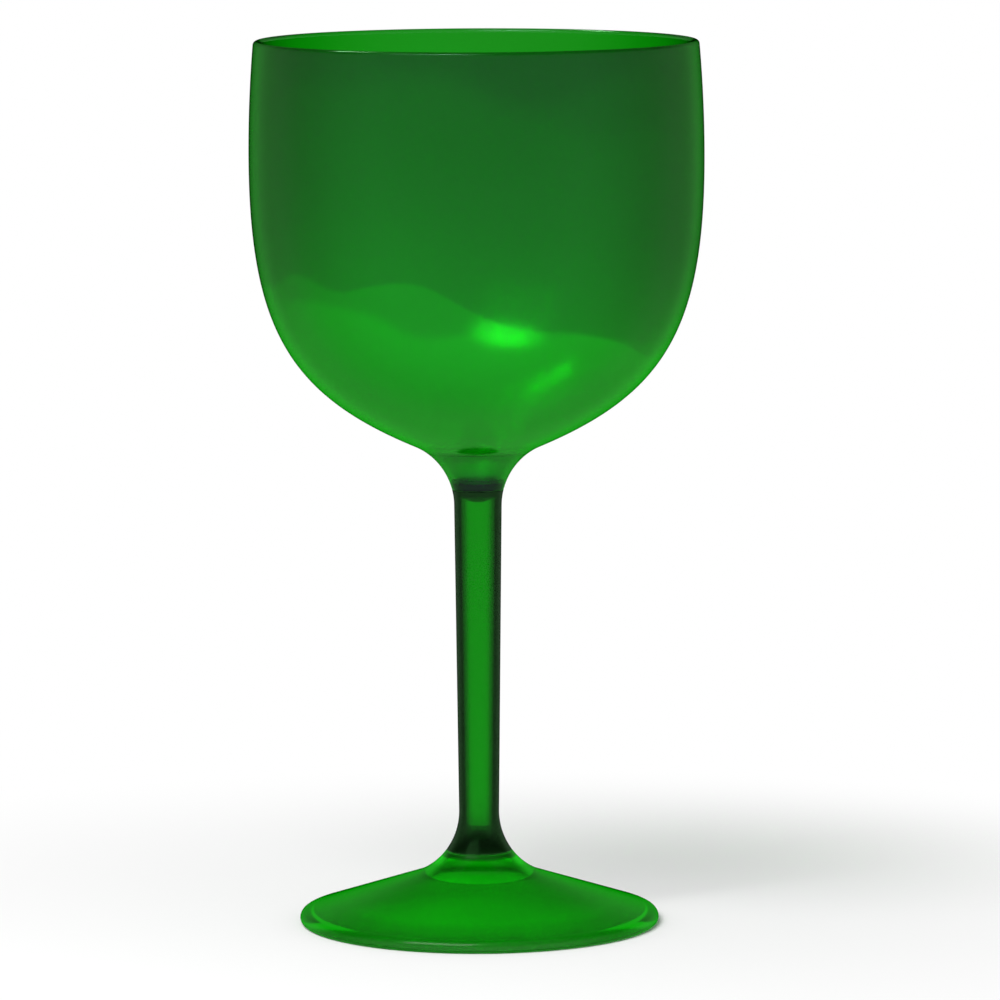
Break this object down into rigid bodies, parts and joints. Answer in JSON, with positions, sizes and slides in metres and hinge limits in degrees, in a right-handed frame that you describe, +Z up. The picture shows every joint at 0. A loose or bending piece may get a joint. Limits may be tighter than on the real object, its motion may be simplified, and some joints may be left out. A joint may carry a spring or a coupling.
{
  "type": "gin glass",
  "caption": "Stemmed gin goblet in clear green moulded plastic: a deep round bowl on a hollow tapered stem and a domed foot.",
  "frame": {"origin": "middle of the foot's underside, on the surface that the glass stands on", "axes": "+Z up along the stem to the rim; the glass is round, so +X and +Y are any two directions square to it"},
  "size_m": [0.1022, 0.1022, 0.2],
  "materials": {
    "clear_green_plastic": "clear gloss, see-through green",
    "cement": "clear gloss, dark green"
  },
  "bodies": {
    "root": {"bowl": "clear_green_plastic", "upper_joint_cement": "cement", "stem": "clear_green_plastic", "lower_joint_cement": "cement", "foot": "clear_green_plastic"}
  },
  "joints": []
}
